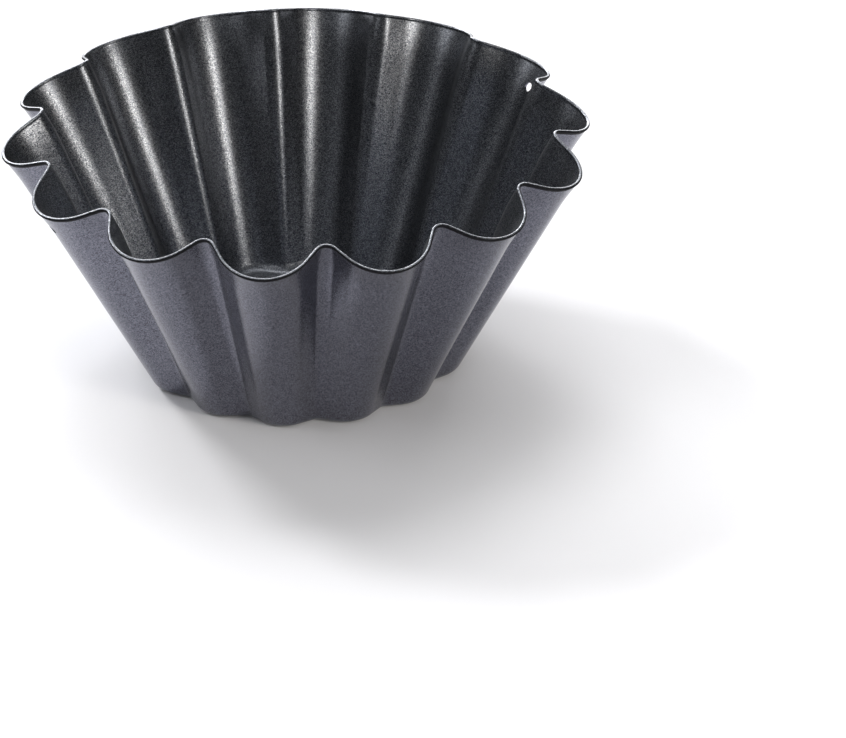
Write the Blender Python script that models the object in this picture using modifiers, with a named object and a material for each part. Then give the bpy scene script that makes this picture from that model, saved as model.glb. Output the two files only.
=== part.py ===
"""Fluted cake pan: one pressed sheet of steel with a wavy rim and two punched holes.

Metres, +Z up. The origin is on the surface that the pan stands on, under the middle of its base.
The wall has crests, its broad outward bulges, and grooves, the narrow folds between them.
Its lines run straight up from points of the base's outline, and flare a little just below the
rim. One crest lies on +X, and the holes are in it and in the crest across from it.
"""

import math

import bmesh
import bpy
from mathutils import Matrix, Vector

# Flutes
FLUTES = 14

# Rim, measured on the middle of the sheet at its cut edge
RIM_CREST_RADIUS = 0.1099
RIM_FLUTE_DEPTH = 0.0134
RIM_GROOVE_ROUND = 0.0045
RIM_FLANK = 0.0056
RIM_CREST_HEIGHT = 0.0897
RIM_GROOVE_RISE = 0.0064

# Flare: how far the rim stands out from the line of the straight wall, and how long it is
RIM_FLARE = 0.0014
FLARE_LENGTH = 0.0150

# Base, measured on the middle of the sheet where wall and base would meet unrounded
BASE_CREST_RADIUS = 0.0621
BASE_FLUTE_DEPTH = 0.0044
BASE_GROOVE_ROUND = 0.0044
BASE_FLANK = 0.0056
CORNER_ROUND = 0.0050

# Sheet, with its coats, and how far the rounded rim stands out from each of its faces
SHEET = 0.0007
RIM_SWELL = 0.0003

# Holes
HOLE_DIAMETER = 0.0035
HOLE_DROP = 0.0093

# Facets
CREST_STEPS = 5
FLANK_STEPS = 1
GROOVE_STEPS = 2
FLARE_STEPS = 3
WALL_STEPS = 2
CORNER_STEPS = 4
HOLE_SIDES = 24
FLAT_RING_SHARE = 0.8

# Angles round the bead's section, from its top, at which the wall has a row of points
BEAD_ANGLES = [math.radians(a) for a in (20.0, 54.0, 100.0)]

HALF_PITCH = math.pi / FLUTES
RIM_BEAD = SHEET + 2 * RIM_SWELL


def clear_scene():
    for obj in list(bpy.data.objects):
        bpy.data.objects.remove(obj, do_unlink=True)


def new_collection(name):
    found = bpy.data.collections.new(name)
    bpy.context.scene.collection.children.link(found)
    return found


def arc(start, radius, from_angle, to_angle, steps):
    """Points after start on an arc whose heading dips from one angle to another.

    The heading is measured down from +X. A positive radius bends down and a negative one up.
    """
    points = []
    for i in range(1, steps + 1):
        angle = from_angle + (to_angle - from_angle) * i / steps
        across = radius * (math.sin(angle) - math.sin(from_angle))
        down = radius * (math.cos(from_angle) - math.cos(angle))
        points.append(start + Vector((across, -down)))
    return points


def half_flute(crest_radius, depth, groove_round, flank):
    """Points from a crest, on +Y, to the next groove: crest arc, straight flank, groove arc.

    The crest arc's radius and the flank's slope follow from the rest, so that the three pieces
    meet smoothly: the flank is the line that touches both arcs on opposite sides.
    """
    groove_axis = Vector((math.sin(HALF_PITCH), math.cos(HALF_PITCH)))
    centre = groove_axis * (crest_radius - depth + groove_round)
    drop = crest_radius - centre.y
    reach = centre.x**2 + drop**2 - groove_round**2 - flank**2
    crest_round = reach / (2 * (drop + groove_round))
    between = math.atan2(centre.x, crest_round - drop)
    slope = between - math.atan2(flank, crest_round + groove_round)
    crest = Vector((0.0, crest_radius))
    points = [crest] + arc(crest, crest_round, 0.0, slope, CREST_STEPS)
    flank_start = points[-1]
    flank_end = centre - groove_round * Vector((math.sin(slope), math.cos(slope)))
    for i in range(1, FLANK_STEPS + 1):
        points.append(flank_start.lerp(flank_end, i / FLANK_STEPS))
    points += arc(flank_end, -groove_round, slope, HALF_PITCH, GROOVE_STEPS)
    return points


def outline(crest_radius, depth, groove_round, flank):
    """The closed outline as XY points, anticlockwise, from the crest on +X."""
    half = half_flute(crest_radius, depth, groove_round, flank)
    other_half = [Vector((-p.x, p.y)) for p in half[-2:0:-1]]
    points = []
    for flute in range(FLUTES):
        turn = Matrix.Rotation(2 * HALF_PITCH * flute - math.pi / 2, 2)
        next_turn = Matrix.Rotation(2 * HALF_PITCH * (flute + 1) - math.pi / 2, 2)
        points += [turn @ Vector((-p.x, p.y)) for p in half]
        points += [next_turn @ Vector((-p.x, p.y)) for p in other_half]
    return points


def rim_line():
    """The cut edge. It rises from the crests to the grooves, as a blank of even width does."""
    flat = outline(RIM_CREST_RADIUS, RIM_FLUTE_DEPTH, RIM_GROOVE_ROUND, RIM_FLANK)
    points = []
    for p in flat:
        inward = (RIM_CREST_RADIUS - p.length) / RIM_FLUTE_DEPTH
        points.append(Vector((p.x, p.y, RIM_CREST_HEIGHT + RIM_GROOVE_RISE * inward)))
    return points


def flare_line():
    """How far each point of the cut edge stands out from where the straight wall would end.

    The straight wall aims at the rim's outline drawn in by the flare, on the same arcs' centres.
    """
    edge = outline(RIM_CREST_RADIUS, RIM_FLUTE_DEPTH, RIM_GROOVE_ROUND, RIM_FLANK)
    crest_radius = RIM_CREST_RADIUS - RIM_FLARE
    groove_round = RIM_GROOVE_ROUND + RIM_FLARE
    aim = outline(crest_radius, RIM_FLUTE_DEPTH, groove_round, RIM_FLANK)
    return [Vector((p.x - q.x, p.y - q.y, 0.0)) for p, q in zip(edge, aim)]


def corner_line():
    """Where the wall would meet the base if the corner weren't rounded."""
    flat = outline(BASE_CREST_RADIUS, BASE_FLUTE_DEPTH, BASE_GROOVE_ROUND, BASE_FLANK)
    return [Vector((p.x, p.y, SHEET / 2)) for p in flat]


def corner_arc(corner, up_wall):
    """Points from the wall round into the flat base, on an arc that touches both."""
    inward = Vector((-corner.x, -corner.y, 0.0)).normalized()
    angle = up_wall.angle(inward)
    reach = CORNER_ROUND / math.tan(angle / 2)
    middle = (up_wall + inward).normalized() * (CORNER_ROUND / math.sin(angle / 2))
    first = up_wall * reach - middle
    last = inward * reach - middle
    turn = first.angle(last)
    points = []
    for i in range(CORNER_STEPS + 1):
        t = i / CORNER_STEPS
        share = math.sin((1 - t) * turn) * first + math.sin(t * turn) * last
        points.append(corner + middle + share / math.sin(turn))
    return points


def on_wall(rim, flare, corner, down):
    """(point, direction up the wall) at a distance below the cut edge, along the straight wall.

    The flare is a parabola: it leaves the straight wall smoothly and is steepest at the rim.
    """
    up_wall = (rim - flare - corner).normalized()
    left = max(1.0 - down / FLARE_LENGTH, 0.0)
    point = rim - flare - up_wall * down + flare * left**2
    return point, (up_wall + flare * (2 * left / FLARE_LENGTH)).normalized()


def bead_rows():
    """(distance below the cut edge, wall thickness) of each row of the rounded rim."""
    radius = RIM_BEAD / 2
    neck = math.pi - math.asin(SHEET / RIM_BEAD)
    rows = []
    for angle in BEAD_ANGLES:
        down = radius * (math.cos(BEAD_ANGLES[0]) - math.cos(angle))
        rows.append((down, RIM_BEAD * math.sin(angle)))
    rows.append((radius * (math.cos(BEAD_ANGLES[0]) - math.cos(neck)), SHEET))
    return rows


def meridian(rim, flare, corner):
    """One line of the sheet from the rim to the flat base, as (point, thickness) pairs."""
    bead = bead_rows()
    neck = bead[-1][0]
    rows = [(on_wall(rim, flare, corner, down)[0], thickness) for down, thickness in bead]
    for i in range(1, FLARE_STEPS + 1):
        down = neck + (FLARE_LENGTH - neck) * i / FLARE_STEPS
        rows.append((on_wall(rim, flare, corner, down)[0], SHEET))
    bend = corner_arc(corner, (rim - flare - corner).normalized())
    below_flare = rows[-1][0]
    for i in range(1, WALL_STEPS):
        rows.append((below_flare.lerp(bend[0], i / WALL_STEPS), SHEET))
    rows += [(point, SHEET) for point in bend]
    flat = bend[-1]
    ring_radius = (BASE_CREST_RADIUS - BASE_FLUTE_DEPTH) * FLAT_RING_SHARE
    ring = flat.xy.normalized() * ring_radius
    rows.append((Vector((ring.x, ring.y, flat.z)), SHEET))
    return rows


def sheet_mesh(name):
    """The middle of the sheet, open at the rim, with each point's thickness as its weight."""
    lines = [meridian(*line) for line in zip(rim_line(), flare_line(), corner_line())]
    bm = bmesh.new()
    weights = bm.verts.layers.deform.verify()
    grid = []
    for line in lines:
        column = []
        for point, thickness in line:
            vert = bm.verts.new(point)
            vert[weights][0] = thickness / RIM_BEAD
            column.append(vert)
        grid.append(column)
    for i, column in enumerate(grid):
        beside = grid[(i + 1) % len(grid)]
        for j in range(len(column) - 1):
            bm.faces.new((column[j], column[j + 1], beside[j + 1], beside[j]))
    bm.faces.new([column[-1] for column in reversed(grid)])
    bmesh.ops.recalc_face_normals(bm, faces=bm.faces)
    mesh = bpy.data.meshes.new(name)
    bm.to_mesh(mesh)
    bm.free()
    return mesh


def coated_steel():
    """Dark satin non-stick coat on steel."""
    material = bpy.data.materials.new("Dark non-stick coat")
    material.use_nodes = True
    shader = material.node_tree.nodes["Principled BSDF"]
    shader.inputs["Base Color"].default_value = (0.055, 0.054, 0.060, 1.0)
    shader.inputs["Metallic"].default_value = 0.35
    shader.inputs["Roughness"].default_value = 0.38
    return material


def hole_cutter(collection, name, crest):
    """A cylinder square to the wall, through the crest of that number."""
    corner = Vector((BASE_CREST_RADIUS, 0.0, SHEET / 2))
    rim = Vector((RIM_CREST_RADIUS, 0.0, RIM_CREST_HEIGHT))
    flare = Vector((RIM_FLARE, 0.0, 0.0))
    centre, up_wall = on_wall(rim, flare, corner, HOLE_DROP)
    outward = Vector((up_wall.z, 0.0, -up_wall.x))
    place = Matrix.Translation(centre)
    tilt = outward.to_track_quat("Z", "Y").to_matrix().to_4x4()
    turn = Matrix.Rotation(2 * HALF_PITCH * crest, 4, "Z")
    half_side = Matrix.Rotation(math.pi / HOLE_SIDES, 4, "Z")
    bm = bmesh.new()
    bmesh.ops.create_cone(
        bm,
        cap_ends=True,
        segments=HOLE_SIDES,
        radius1=HOLE_DIAMETER / 2,
        radius2=HOLE_DIAMETER / 2,
        depth=12 * SHEET,
    )
    mesh = bpy.data.meshes.new(name)
    bm.to_mesh(mesh)
    bm.free()
    cutter = bpy.data.objects.new(name, mesh)
    cutter.matrix_world = turn @ place @ tilt @ half_side
    cutter.hide_render = True
    cutter.display_type = "WIRE"
    collection.objects.link(cutter)
    return cutter


def fluted_shell(collection, cutters):
    """The pressed sheet, given its thickness, with the two holes punched through it."""
    shell = bpy.data.objects.new("fluted_shell", sheet_mesh("fluted_shell"))
    collection.objects.link(shell)
    shell.vertex_groups.new(name="thickness")
    shell.data.materials.append(coated_steel())
    solidify = shell.modifiers.new("Sheet thickness", "SOLIDIFY")
    solidify.thickness = RIM_BEAD
    solidify.offset = 0.0
    solidify.use_even_offset = True
    solidify.use_quality_normals = True
    solidify.vertex_group = "thickness"
    solidify.thickness_vertex_group = 0.0
    for cutter in cutters:
        punch = shell.modifiers.new(cutter.name, "BOOLEAN")
        punch.operation = "DIFFERENCE"
        punch.solver = "EXACT"
        punch.object = cutter
    shell.data.shade_smooth()
    shell.data.set_sharp_from_angle(angle=math.radians(40))
    return shell


def build():
    clear_scene()
    parts = new_collection("Fluted cake pan")
    cutters = new_collection("Cutters")
    near = hole_cutter(cutters, "hole_at_plus_x", 0)
    far = hole_cutter(cutters, "hole_at_minus_x", FLUTES // 2)
    fluted_shell(parts, [near, far])


build()
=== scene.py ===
"""A fluted cake pan on a white table: one pressed sheet of steel, coated dark inside and out."""

import math

import bpy
import numpy as np
from mathutils import Matrix


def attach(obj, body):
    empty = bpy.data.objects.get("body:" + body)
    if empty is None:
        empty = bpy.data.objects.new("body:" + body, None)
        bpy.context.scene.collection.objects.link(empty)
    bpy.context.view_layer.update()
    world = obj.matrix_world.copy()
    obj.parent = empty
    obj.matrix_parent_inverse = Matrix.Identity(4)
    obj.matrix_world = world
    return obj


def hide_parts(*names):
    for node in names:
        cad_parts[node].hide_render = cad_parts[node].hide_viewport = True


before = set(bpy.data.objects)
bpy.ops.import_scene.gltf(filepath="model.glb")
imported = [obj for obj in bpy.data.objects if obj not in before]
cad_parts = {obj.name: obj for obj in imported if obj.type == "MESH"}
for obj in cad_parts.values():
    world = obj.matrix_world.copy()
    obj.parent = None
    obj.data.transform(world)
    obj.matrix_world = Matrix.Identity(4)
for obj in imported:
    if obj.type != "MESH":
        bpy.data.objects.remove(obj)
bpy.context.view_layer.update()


# The pressed sheet -----------------------------------------------------------------------------
# One disc of sheet steel, pressed in one go into fourteen flutes between a flat scalloped base
# and a wavy, flared and beaded rim, with a hole punched through each of two facing crests. It is
# sprayed on both sides: a lavender-grey satin coat outside and a darker non-stick coat inside.

FLUTES = 14
HALF_PITCH = math.pi / FLUTES

# Crest radius, flute depth, groove radius and straight flank, on the middle of the sheet
RIM_OUTLINE = (0.1099, 0.0134, 0.0045, 0.0056)
BASE_OUTLINE = (0.0621, 0.0044, 0.0044, 0.0056)
RIM_CREST_HEIGHT = 0.0897
RIM_GROOVE_RISE = 0.0064
RIM_FLARE = 0.0014
FLARE_LENGTH = 0.0150
CORNER_ROUND = 0.0050

SHEET = 0.0007
RIM_BEAD_RADIUS = 0.00065
CREASE_WIDTH = 0.0004
HOLE_RADIUS = 0.00175
HOLE_DROP = 0.0093
DRILL_REACH = 0.005

CREST_STEPS, FLANK_STEPS, GROOVE_STEPS = 14, 4, 9
FLARE_ROWS, WALL_ROWS, CORNER_ROWS, BASE_ROWS, BEAD_ROWS = 10, 22, 12, 12, 15
# Rows of the outside wall and of the bead that take the crease's painted shade
CREASE_WALL_ROWS, CREASE_BEAD_ROWS = 2, 6
HOLE_SIDES = 40
SHARP_EDGE = math.radians(40)

# Flake sizes, and the colours of the darkest and the palest flakes
SATIN_FLAKE = 0.00026
SATIN_DARK, SATIN_PALE = (0.054, 0.055, 0.069), (0.254, 0.258, 0.310)
NON_STICK_FLAKE = 0.00024
NON_STICK_DARK, NON_STICK_PALE = (0.058, 0.063, 0.075), (0.348, 0.359, 0.384)
# Painted shade: the near-black put in the crease under the bead, where the gap lies in shadow
CREASE_PAINTED_SHADE = (0.010, 0.010, 0.012)

# How high above the table the inside starts to turn duller, and is at its dullest
DULL_FROM, DULLEST = 0.0035, 0.0008


def half_flute(crest_radius, depth, groove_round, flank):
    """Half a flute's outline, from the crest on +Y to the groove, as (n, 2).

    A crest arc turns from level to the flank's slope, the straight flank follows, and a groove
    arc turns on to half the pitch. The groove arc's centre lies on the groove's axis, and the
    crest arc's radius is the one for which the flank touches both arcs on opposite sides.
    """
    axis = np.array([math.sin(HALF_PITCH), math.cos(HALF_PITCH)])
    centre = axis * (crest_radius - depth + groove_round)
    drop = crest_radius - centre[1]
    reach = centre[0] ** 2 + drop**2 - groove_round**2 - flank**2
    crest_round = reach / (2 * (drop + groove_round))
    between = math.atan2(centre[0], crest_round - drop)
    slope = between - math.atan2(flank, crest_round + groove_round)
    turn = np.linspace(0, slope, CREST_STEPS + 1)
    crest = np.c_[crest_round * np.sin(turn), crest_radius - crest_round * (1 - np.cos(turn))]
    turn = np.linspace(slope, HALF_PITCH, GROOVE_STEPS + 1)
    groove = centre - groove_round * np.c_[np.sin(turn), np.cos(turn)]
    share = np.linspace(0, 1, FLANK_STEPS + 1)[1:-1, None]
    return np.r_[crest, crest[-1] * (1 - share) + groove[0] * share, groove]


def flute_ring(outline):
    """The whole outline, (points, 2), anticlockwise: one flute turned by each whole pitch.

    The half flute and its mirror image make the flute, and the first crest lies on +X.
    """
    half = half_flute(*outline)
    flute = np.r_[half[:0:-1], half[:-1] * [-1, 1]]
    turn = (2 * HALF_PITCH * np.arange(FLUTES) - math.pi / 2)[:, None]
    x = flute[:, 0] * np.cos(turn) - flute[:, 1] * np.sin(turn)
    y = flute[:, 0] * np.sin(turn) + flute[:, 1] * np.cos(turn)
    return np.c_[x.ravel(), y.ravel()]


def unit(vectors):
    """Each vector over its own length."""
    return vectors / np.linalg.norm(vectors, axis=-1, keepdims=True)


def rim_flare_and_corner():
    """The rim, the step out to it that the flare makes, and the base's corner before it is
    rounded, each (points, 3).

    The flare's step is the way to the rim's outline from the same outline drawn in by the flare.
    The rim's height rises from the crests to the grooves as far as its outline dips inwards.
    """
    crest_radius, depth, groove_round, flank = RIM_OUTLINE
    rim = flute_ring(RIM_OUTLINE)
    drawn_in = flute_ring((crest_radius - RIM_FLARE, depth, groove_round + RIM_FLARE, flank))
    flare = np.c_[rim - drawn_in, np.zeros(len(rim))]
    dip = (crest_radius - np.hypot(*rim.T)) / depth
    rim = np.c_[rim, RIM_CREST_HEIGHT + RIM_GROOVE_RISE * dip]
    corner = flute_ring(BASE_OUTLINE)
    return rim, flare, np.c_[corner, np.full(len(corner), SHEET / 2)]


def on_wall(rim, flare, corner, down):
    """(point, direction up the wall) at a distance below the rim, along the straight wall.

    A straight line from the corner would end short of the rim by the flare. A parabola brings
    the wall out to the rim: the flare times the square of the share of its length still left.
    """
    up_wall = unit(rim - flare - corner)
    left = np.maximum(1 - down / FLARE_LENGTH, 0)
    point = rim - flare - up_wall * down + flare * left**2
    return point, unit(up_wall + flare * (2 * left / FLARE_LENGTH))


def rounded_corner(corner, up_wall):
    """Rows round the corner, (rows, points, 3), from the wall to the flat base.

    Each arc touches a line up the wall and one inwards along the base. Its centre lies on the
    line halfway between them, as far off as its radius over the sine of half their angle. An
    even turn from its first to its last radius mixes the two by the sines of the turn that is
    left and the turn that is done, over the sine of the whole turn.
    """
    inward = unit(corner * [-1, -1, 0])
    half_angle = np.arccos((up_wall * inward).sum(1, keepdims=True)) / 2
    reach = CORNER_ROUND / np.tan(half_angle)
    centre = unit(up_wall + inward) * (CORNER_ROUND / np.sin(half_angle))
    first = up_wall * reach - centre
    last = inward * reach - centre
    turn = math.pi - 2 * half_angle
    share = np.linspace(0, 1, CORNER_ROWS + 1)[:, None, None]
    arc = np.sin((1 - share) * turn) * first + np.sin(share * turn) * last
    return corner + centre + arc / np.sin(turn)


def middle_of_sheet(rim, flare, corner, below_bead):
    """The middle of the sheet as rows, (rows, points, 3), from below the bead to the middle of
    the base.

    The wall is ruled up to its flare: each line rises from a point of the base's corner towards
    the same point of the rim's outline drawn in by the flare. The base shrinks to one point.
    """
    down = np.linspace(below_bead + CREASE_WIDTH, FLARE_LENGTH, FLARE_ROWS)
    flared = on_wall(rim, flare, corner, np.r_[below_bead, down][:, None, None])[0]
    bend = rounded_corner(corner, unit(rim - flare - corner))
    share = np.linspace(0, 1, WALL_ROWS + 1)[1:-1, None, None]
    wall = flared[-1] * (1 - share) + bend[0] * share
    share = np.linspace(1, 0, BASE_ROWS + 1)[1:, None, None]
    base = bend[-1] * [1, 1, 0] * share + [0, 0, SHEET / 2]
    return np.concatenate([flared, wall, bend, base])


def sheet_surface():
    """The sheet as a closed strip of rows, (rows, points, 3), from the middle of the underside,
    up the outside, over the rim and down the inside to the middle of the base.

    Both faces stand off the middle of the sheet, along its normal, by half the sheet. The rim is
    a round bead thicker than the sheet: a circle in the plane of the normal and the wall, from
    one face round to the other.
    """
    rim, flare, corner = rim_flare_and_corner()
    neck = math.pi - math.asin(SHEET / 2 / RIM_BEAD_RADIUS)
    below_bead = RIM_BEAD_RADIUS * (1 - math.cos(neck))
    middle = middle_of_sheet(rim, flare, corner, below_bead)
    along = np.roll(middle, -1, 1) - np.roll(middle, 1, 1)
    down = unit(np.diff(middle, axis=0))
    down = np.concatenate([down[:1], down[:-1] + down[1:], down[-1:]])
    out = unit(np.cross(down, along)[:-1])
    out = np.concatenate([out, np.broadcast_to([0.0, 0.0, -1.0], out[:1].shape)])
    outside = middle + out * SHEET / 2
    inside = middle - out * SHEET / 2
    turn = np.linspace(neck, -neck, BEAD_ROWS + 2)[1:-1, None, None]
    bead = (np.cos(turn) - 1) * on_wall(rim, flare, corner, 0)[1] + np.sin(turn) * out[0]
    return np.concatenate([outside[::-1], rim + RIM_BEAD_RADIUS * bead, inside])


def strip_mesh(name, rows):
    """A closed mesh of a strip of rings whose first and last ring are each one point.

    Its points are the rings in turn, with one point for each end, and its faces the quads
    between neighbouring rings and a fan of triangles round each end.
    """
    count = rows.shape[1]
    points = np.concatenate([rows[0, :1], rows[1:-1].reshape(-1, 3), rows[-1, :1]])
    ring = np.arange(count)
    after = (ring + 1) % count
    level = 1 + count * np.arange(len(rows) - 3)[:, None]
    quads = np.stack([level + ring, level + after, level + count + after, level + count + ring], 2)
    top = level[-1] + count
    fan = np.c_[np.zeros(count, int), 1 + after, 1 + ring]
    last_fan = np.c_[np.full(count, len(points) - 1), top + ring, top + after]
    mesh = bpy.data.meshes.new(name)
    faces = fan.tolist() + quads.reshape(-1, 4).tolist() + last_fan.tolist()
    mesh.from_pydata(points.tolist(), [], faces)
    return mesh


def punch(turn):
    """A round drill square to the wall, through the crest at that turn, as an object.

    Its section is a circle, carried along the crest's normal from outside to inside the pan.
    """
    rim = np.array([RIM_OUTLINE[0], 0, RIM_CREST_HEIGHT])
    corner = np.array([BASE_OUTLINE[0], 0, SHEET / 2])
    place, up_wall = on_wall(rim, np.array([RIM_FLARE, 0, 0]), corner, HOLE_DROP)
    level = np.array([0, 1, 0])
    out = np.cross(level, up_wall)
    angle = (np.arange(HOLE_SIDES) + 0.5) * (2 * math.pi / HOLE_SIDES)
    circle = np.cos(angle)[:, None] * up_wall + np.sin(angle)[:, None] * level
    reach = np.array([1, 1, -1, -1])[:, None, None] * DRILL_REACH * out
    width = np.array([0, 1, 1, 0])[:, None, None] * HOLE_RADIUS
    cos, sin = math.cos(turn), math.sin(turn)
    rows = (place + reach + width * circle) @ [[cos, sin, 0], [-sin, cos, 0], [0, 0, 1]]
    drill = bpy.data.objects.new("drill", strip_mesh("drill", rows))
    bpy.context.scene.collection.objects.link(drill)
    return drill


class Tone:
    """A node's output as a number: sums and products of Tones add their Math nodes."""

    def __init__(self, finish, socket):
        self.finish, self.socket = finish, socket

    def math(self, operation, other):
        """This and another number, brought together by a Math node."""
        sockets = {0: self, 1: other}
        return self.finish.node("ShaderNodeMath", {"operation": operation}, sockets)

    def __add__(self, other):
        return self.math("ADD", other)

    def __mul__(self, other):
        return self.math("MULTIPLY", other)

    __radd__ = __add__
    __rmul__ = __mul__

    def output(self, name):
        """Another output of the same node."""
        return Tone(self.finish, self.socket.node.outputs[name])

    def between(self, start, end, low=0.0, high=1.0):
        """Low where this is at start, high where it is at end, and a smooth rise in between."""
        settings = {"interpolation_type": "SMOOTHSTEP"}
        sockets = dict(enumerate((self, start, end, low, high)))
        return self.finish.node("ShaderNodeMapRange", settings, sockets)


class Finish:
    """The nodes of a material or of the room, and the one way in which more are added."""

    def __init__(self, owner, shader="Principled BSDF"):
        owner.use_nodes = True
        self.owner, self.tree = owner, owner.node_tree
        self.shader = self.tree.nodes[shader]

    def node(self, kind, settings, sockets, output=0):
        """A new node with its settings made first, then its sockets set or linked."""
        added = self.tree.nodes.new(kind)
        for name, value in settings.items():
            setattr(added, name, value)
        self.fill(added, sockets)
        return Tone(self, added.outputs[output])

    def fill(self, node, sockets):
        """Links each socket that is given a Tone, and sets the others."""
        for name, value in sockets.items():
            if isinstance(value, Tone):
                self.tree.links.new(value.socket, node.inputs[name])
            else:
                node.inputs[name].default_value = value

    def place(self):
        """The point's own place on the pan, in metres."""
        return self.node("ShaderNodeTexCoord", {}, {}, "Object")

    def vector(self, operation, first, second, output=0):
        """Two vectors or colours, brought together by a Vector Math node."""
        sockets = {0: first, 1: second}
        return self.node("ShaderNodeVectorMath", {"operation": operation}, sockets, output)

    def flakes(self, size):
        """(height, random number from 0 to 1) of flat flakes about that size, in metres.

        Each Voronoi cell is a flake with a random lean. Its height is the dot product of that
        lean and the way from the cell's centre.
        """
        place = self.place()
        cells = self.node("ShaderNodeTexVoronoi", {}, {"Vector": place, "Scale": 1 / size})
        lean = self.vector("SUBTRACT", cells.output("Color"), (0.5, 0.5, 0.5))
        away = self.vector("SUBTRACT", place, cells.output("Position"))
        height = self.vector("DOT_PRODUCT", lean, away, "Value")
        red = (1.0, 0.0, 0.0)
        return height, self.vector("DOT_PRODUCT", cells.output("Color"), red, "Value")

    def blend(self, share, low, high):
        """The low colour where share is 0 and the high one where it is 1.

        A Mix node takes its two colours in sockets 6 and 7, and gives the mixed one in output 2.
        """
        sockets = {0: share, 6: (*low, 1.0), 7: (*high, 1.0)}
        return self.node("ShaderNodeMix", {"data_type": "RGBA"}, sockets, 2)

    def bump(self, height, strength):
        """The surface's normal, leaned by a height in metres, to a share of its full slope."""
        sockets = {"Height": height, "Distance": 1.0, "Strength": strength}
        return self.node("ShaderNodeBump", {}, sockets)


def outside_coat():
    """Lavender-grey satin, full of metal flakes about a quarter of a millimetre across."""
    coat = Finish(bpy.data.materials.new("outside satin coat"))
    height, luck = coat.flakes(SATIN_FLAKE)
    sockets = {
        "Base Color": coat.blend(luck, SATIN_DARK, SATIN_PALE),
        "Metallic": 1.0,
        "Roughness": luck * 0.08 + 0.17,
        "Normal": coat.bump(height, 0.08),
    }
    coat.fill(coat.shader, sockets)
    return coat.owner


def inside_coat():
    """Dark non-stick coat, whose few pale flakes catch the light singly, a little duller where
    it runs out over the base."""
    coat = Finish(bpy.data.materials.new("inside non-stick coat"))
    height, luck = coat.flakes(NON_STICK_FLAKE)
    above_table = coat.node("ShaderNodeSeparateXYZ", {}, {0: coat.place()}, "Z")
    dull = above_table.between(DULL_FROM, DULLEST)
    sockets = {
        "Base Color": coat.blend(luck * luck, NON_STICK_DARK, NON_STICK_PALE),
        "Metallic": 0.95,
        "Roughness": luck * 0.06 + 0.27 + dull * 0.08,
        "Normal": coat.bump(height, 0.12),
    }
    coat.fill(coat.shader, sockets)
    return coat.owner


def painted_crease_shade():
    """Painted shade in the shadowed crease under the bead: near black and barely reflecting."""
    coat = Finish(bpy.data.materials.new("rim crease painted shade"))
    sockets = {
        "Base Color": (*CREASE_PAINTED_SHADE, 1.0),
        "Roughness": 0.5,
        "Specular IOR Level": 0.05,
    }
    coat.fill(coat.shader, sockets)
    return coat.owner


def fluted_pan():
    """The coated sheet as one object, with both of its holes punched.

    Row by row, the outside coat goes up to the crease, the crease's painted shade goes over the
    last of the outside and the first of the bead, and the inside coat has the rest.
    """
    rows = sheet_surface()
    pan = bpy.data.objects.new("fluted_pan", strip_mesh("fluted_pan", rows))
    bpy.context.scene.collection.objects.link(pan)
    for coat in (outside_coat(), painted_crease_shade(), inside_coat()):
        pan.data.materials.append(coat)
    outside, crease, inside = range(3)
    bead_from = (len(rows) - BEAD_ROWS) // 2
    coats = np.full(len(rows) - 1, outside)
    # The crease rows take the painted shade, standing in for the shadow in the gap under the bead
    coats[bead_from - CREASE_WALL_ROWS :] = crease
    coats[bead_from + CREASE_BEAD_ROWS :] = inside
    pan.data.polygons.foreach_set("material_index", np.repeat(coats, rows.shape[1]))
    drills = [punch(0.0), punch(math.pi)]
    for drill in drills:
        cut = pan.modifiers.new("hole", "BOOLEAN")
        cut.operation, cut.solver, cut.object = "DIFFERENCE", "EXACT", drill
    graph = bpy.context.evaluated_depsgraph_get()
    pan.data = bpy.data.meshes.new_from_object(pan.evaluated_get(graph))
    pan.modifiers.clear()
    for drill in drills:
        bpy.data.objects.remove(drill)
    pan.data.shade_smooth()
    pan.data.set_sharp_from_angle(angle=SHARP_EDGE)
    return pan


pan = fluted_pan()
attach(pan, "root")
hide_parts("fluted_shell")


# The table -------------------------------------------------------------------------------------
# A plain matt white sheet of paper under and behind the pan, which shows white and keeps the
# pan's shadow. It is not part of the pan.

PAPER_SIZE = 30.0
PAPER_BELOW_PAN = 0.00002
PAPER_WHITE = (0.92, 0.92, 0.945)
PLAIN_WHITE_SHARE = 0.02


def white_paper():
    """Matt white, with a small share of what is seen of it replaced by plain white."""
    paper = Finish(bpy.data.materials.new("white table"))
    sockets = {
        "Base Color": (*PAPER_WHITE, 1.0),
        "Roughness": 0.9,
        "Specular IOR Level": 0.0,
    }
    paper.fill(paper.shader, sockets)
    ray = paper.node("ShaderNodeLightPath", {}, {}, "Is Camera Ray")
    seen = ray + ray.output("Is Glossy Ray") + ray.output("Is Transmission Ray")
    matt = Tone(paper, paper.shader.outputs[0])
    plain = paper.node("ShaderNodeEmission", {}, {"Color": (1.0, 1.0, 1.0, 1.0), "Strength": 1.0})
    sockets = {0: seen * PLAIN_WHITE_SHARE, 1: matt, 2: plain}
    mixed = paper.node("ShaderNodeMixShader", {}, sockets)
    paper.fill(paper.tree.nodes["Material Output"], {"Surface": mixed})
    return paper.owner


across = np.array([[-1, -1, 0], [1, -1, 0], [1, 1, 0], [-1, 1, 0]]) * PAPER_SIZE / 2
floor_mesh = bpy.data.meshes.new("table")
floor_mesh.from_pydata((across - [0, 0, PAPER_BELOW_PAN]).tolist(), [], [(0, 1, 2, 3)])
floor_mesh.materials.append(white_paper())
floor = bpy.data.objects.new("table", floor_mesh)
bpy.context.scene.collection.objects.link(floor)


# The camera ------------------------------------------------------------------------------------
# It looks down at 30 degrees through a long lens, turned so that the crest with the near hole
# lies to the right and behind. Its place was worked out from the rim's and the base's outlines.

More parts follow.
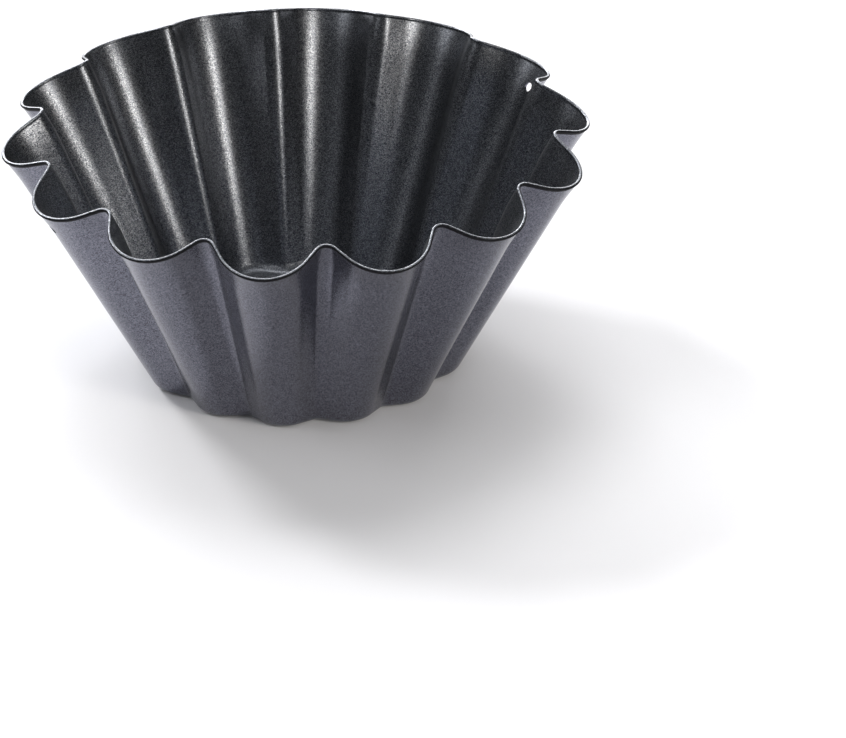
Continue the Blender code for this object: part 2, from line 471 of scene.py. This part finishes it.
CAMERA_TURN = math.radians(33.144)
CAMERA_ELEVATION = math.radians(30.1685)
CAMERA_DISTANCE = 1.81555
AIM_RIGHT, AIM_UP = 0.051714, -0.007961
FRAME_WIDTH, FRAME_HEIGHT = 846, 738
FOCAL_PIXELS = 4746.33
CENTRE_X, CENTRE_Y = 436.11, 365.75
SENSOR = 36.0

to_right = np.array([math.cos(CAMERA_TURN), -math.sin(CAMERA_TURN), 0])
to_back = np.array([math.sin(CAMERA_TURN), math.cos(CAMERA_TURN), 0])
to_sky = np.array([0, 0, 1])
view = to_back * math.cos(CAMERA_ELEVATION) - to_sky * math.sin(CAMERA_ELEVATION)
view_up = to_back * math.sin(CAMERA_ELEVATION) + to_sky * math.cos(CAMERA_ELEVATION)
eye = AIM_RIGHT * to_right + AIM_UP * view_up - CAMERA_DISTANCE * view


def stand(made, side, up, back, place):
    """Puts a camera or lamp in the scene at that place, with those axes as its own X, Y and Z.
    It looks against its Z axis, away from its back."""
    axes = np.eye(4)
    axes[:3] = np.c_[side, up, back, place]
    made.matrix_world = Matrix(axes.tolist())
    bpy.context.scene.collection.objects.link(made)


camera = bpy.data.objects.new("camera", bpy.data.cameras.new("camera"))
camera.data.sensor_width = SENSOR
camera.data.lens = FOCAL_PIXELS * SENSOR / FRAME_WIDTH
camera.data.shift_x = (FRAME_WIDTH / 2 - CENTRE_X) / FRAME_WIDTH
camera.data.shift_y = (CENTRE_Y - FRAME_HEIGHT / 2) / FRAME_WIDTH
stand(camera, to_right, view_up, -view, eye)
bpy.context.scene.camera = camera


# The studio light ------------------------------------------------------------------------------
# A soft key behind and to the left throws the shadow, and four wide panels fill it: two low ones
# behind, one at the side and one overhead. A tall warm box in front and to the right draws the
# bright streaks down the inside, and the room is dim, paler overhead.

SUN_DISTANCE = 3.0
BOX_DISTANCE = 2.2
BOX_WIDTH, BOX_HEIGHT = 0.5, 1.0
BOX_WATTS = 20.0
BOX_WARM_WHITE = (1.0, 0.955, 0.875)
ROOM_COOL_WHITE = (0.94, 0.965, 1.0)
ROOM_DIM, ROOM_PALE = 0.06, 0.28

# How far up the room starts to turn paler, and is at its palest: 0 is level, 1 straight above
PALER_FROM, PALEST = 0.35, 0.75


def aim(name, lamp, turn, elevation, distance):
    """Stands a lamp in that direction from the pan, facing it. Turn is in degrees anticlockwise
    from the camera's right, so 90 is straight behind the pan."""
    turn, elevation = math.radians(turn), math.radians(elevation)
    flat = to_right * math.cos(turn) + to_back * math.sin(turn)
    away = flat * math.cos(elevation) + to_sky * math.sin(elevation)
    side = unit(np.cross(to_sky, away))
    stand(bpy.data.objects.new(name, lamp), side, np.cross(away, side), away, away * distance)


def soft_sun(name, strength, width, turn, elevation):
    """A far round soft light of that width in degrees, even over the whole table."""
    sun = bpy.data.lights.new(name, "SUN")
    sun.energy = strength
    sun.angle = math.radians(width)
    aim(name, sun, turn, elevation, SUN_DISTANCE)


soft_sun("key", strength=1.5, width=12, turn=141, elevation=37)
soft_sun("low right panel", strength=1.4, width=28, turn=80, elevation=16)
soft_sun("low left panel", strength=2.1, width=28, turn=110, elevation=16)
soft_sun("side panel", strength=0.66, width=36, turn=198, elevation=46)
soft_sun("top panel", strength=0.95, width=32, turn=100, elevation=64)

box = bpy.data.lights.new("front box", "AREA")
box.shape = "RECTANGLE"
box.size, box.size_y = BOX_WIDTH, BOX_HEIGHT
box.energy = BOX_WATTS
box.color = BOX_WARM_WHITE
aim("front box", box, turn=-42, elevation=25, distance=BOX_DISTANCE)

room = Finish(bpy.data.worlds.new("room"), "Background")
direction = room.node("ShaderNodeTexCoord", {}, {}, "Generated")
upward = room.node("ShaderNodeSeparateXYZ", {}, {0: direction}, "Z")
strength = upward.between(PALER_FROM, PALEST, ROOM_DIM, ROOM_PALE)
room.fill(room.shader, {"Color": (*ROOM_COOL_WHITE, 1.0), "Strength": strength})
bpy.context.scene.world = room.owner

bpy.context.scene.view_settings.view_transform = "Standard"
